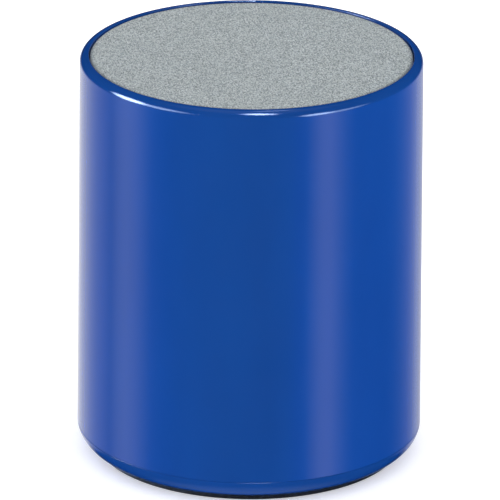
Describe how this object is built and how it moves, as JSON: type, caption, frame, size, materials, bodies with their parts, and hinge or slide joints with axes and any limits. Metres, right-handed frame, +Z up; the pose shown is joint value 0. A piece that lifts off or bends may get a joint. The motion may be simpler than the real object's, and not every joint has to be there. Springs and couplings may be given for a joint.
{
  "type": "portable wireless speaker",
  "caption": "Small upright round portable loudspeaker: glossy tube with a cloth grille on top, base cap, ring foot, charging socket and slide switch underneath.",
  "frame": {"origin": "on the tube's axis, in the plane that the foot ring stands on", "axes": "+Z up along the tube's axis, through the grille; +X is the way the power switch slides on, and the charging socket is on the -Y side"},
  "size_m": [0.0506, 0.0506, 0.0608],
  "materials": {
    "blue_plastic": "high-gloss injection-moulded plastic",
    "grey_cloth": "fine woven speaker cloth",
    "black_foot": "matte soft rubber",
    "tape": "double-sided foam tape",
    "black_plastic": "matte moulded plastic",
    "grey_plastic": "matte moulded plastic",
    "white_plastic": "nylon connector plastic",
    "zinc_steel": "zinc-plated steel",
    "tin_plate": "tinned sheet steel",
    "black_steel": "black coated steel",
    "ferrite": "sintered ferrite",
    "foam": "closed-cell foam",
    "paper_black": "pressed paper pulp",
    "roll_rubber": "thin butyl rubber",
    "spider_cloth": "resin-dipped cotton",
    "former_amber": "amber film",
    "copper": "enamelled copper",
    "gold": "gold plating",
    "board_brown": "paper laminate board",
    "board_green": "solder-masked laminate",
    "chip_black": "epoxy package",
    "can_metal": "drawn aluminium can",
    "chip_tan": "ceramic chip",
    "clear_plastic": "clear acrylic",
    "led_yellow": "cast resin",
    "pouch": "laminated foil pouch",
    "kapton": "amber polyimide tape",
    "lead_red": "soft wire jacket",
    "lead_black": "soft wire jacket"
  },
  "bodies": {
    "housing": {"shell": "blue_plastic", "base_cap": "blue_plastic", "foot_ring": "black_foot", "foot_tape": "tape", "case_screws": "zinc_steel", "grille_plate": "black_plastic", "grille_cloth": "grey_cloth", "driver_gasket": "foam", "driver_basket": "black_steel", "driver_screws": "zinc_steel", "front_plate": "zinc_steel", "magnet": "ferrite", "back_plate": "zinc_steel", "surround": "roll_rubber", "spider": "spider_cloth", "terminal_board": "board_brown", "terminal_tags": "tin_plate", "tinsel_leads": "copper", "main_board": "board_green", "board_screws": "zinc_steel", "radio_chip": "chip_black", "amplifier_chip": "chip_black", "charger_chip": "chip_black", "crystal": "tin_plate", "inductor": "ferrite", "reservoir_capacitors": "can_metal", "chip_parts": "chip_tan", "antenna_trace": "gold", "cell_connector": "white_plastic", "cell_plug": "white_plastic", "speaker_connector": "white_plastic", "speaker_plug": "white_plastic", "charging_socket": "tin_plate", "socket_tongue": "chip_black", "socket_contacts": "gold", "switch_body": "tin_plate", "charge_light": "led_yellow", "light_pipe": "clear_plastic", "cell_tray": "grey_plastic", "cell_tape": "tape", "cell": "pouch", "cell_protection": "kapton", "cell_lead_positive": "lead_red", "cell_lead_negative": "lead_black", "speaker_lead_positive": "lead_red", "speaker_lead_negative": "lead_black"},
    "diaphragm": {"cone": "paper_black", "dust_cap": "paper_black", "coil_former": "former_amber", "voice_coil": "copper"},
    "switch_slider": {"switch_knob": "black_plastic", "switch_lever": "black_plastic"}
  },
  "joints": [
    {"name": "cone_excursion", "type": "slide", "parent": "housing", "child": "diaphragm", "axis": [0, 0, 1], "range_m": [-0.0012, 0.0012], "stiffness_N_per_m": 1000, "deforming": ["surround", "spider", "tinsel_leads"]},
    {"name": "power_switch", "type": "slide", "parent": "housing", "child": "switch_slider", "axis": [1, 0, 0], "range_m": [0, 0.002]}
  ]
}
